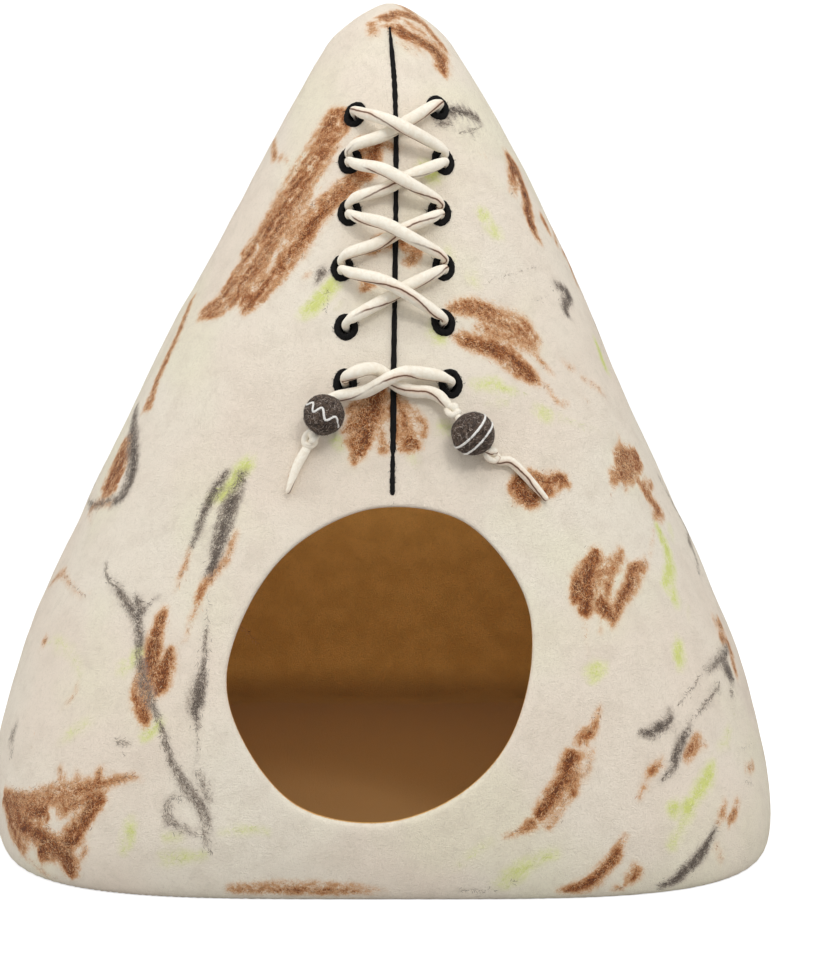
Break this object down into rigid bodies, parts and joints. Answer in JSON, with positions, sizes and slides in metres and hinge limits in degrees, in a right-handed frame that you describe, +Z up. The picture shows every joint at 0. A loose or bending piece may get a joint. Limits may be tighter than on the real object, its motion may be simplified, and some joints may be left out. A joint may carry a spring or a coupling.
{
  "type": "felt cat cave",
  "caption": "Tipi-shaped pet cave of cream wool felt with a round front entrance, criss-cross felt lacing above it, a half-knot tie and free tails with felt beads.",
  "frame": {"origin": "on the floor, under the middle of the base's outline", "axes": "+Z up along the height, -Y out of the entrance, +X to the right as seen from the front"},
  "size_m": [0.5693, 0.5114, 0.6],
  "materials": {
    "cream_felt": "matte wool felt",
    "black_yarn": "matte wool yarn",
    "lace_felt": "matte felted cord",
    "bead_felt": "matte felted ball"
  },
  "bodies": {
    "root": {"felt_shell": "cream_felt", "front_line": "black_yarn", "eyelet_ring_l1": "black_yarn", "eyelet_ring_r1": "black_yarn", "eyelet_ring_l2": "black_yarn", "eyelet_ring_r2": "black_yarn", "eyelet_ring_l3": "black_yarn", "eyelet_ring_r3": "black_yarn", "eyelet_ring_l4": "black_yarn", "eyelet_ring_r4": "black_yarn", "eyelet_ring_l5": "black_yarn", "eyelet_ring_r5": "black_yarn", "eyelet_ring_l6": "black_yarn", "eyelet_ring_r6": "black_yarn", "lace_left": "lace_felt", "lace_right": "lace_felt", "bead_left": "bead_felt", "bead_right": "bead_felt"}
  },
  "joints": []
}
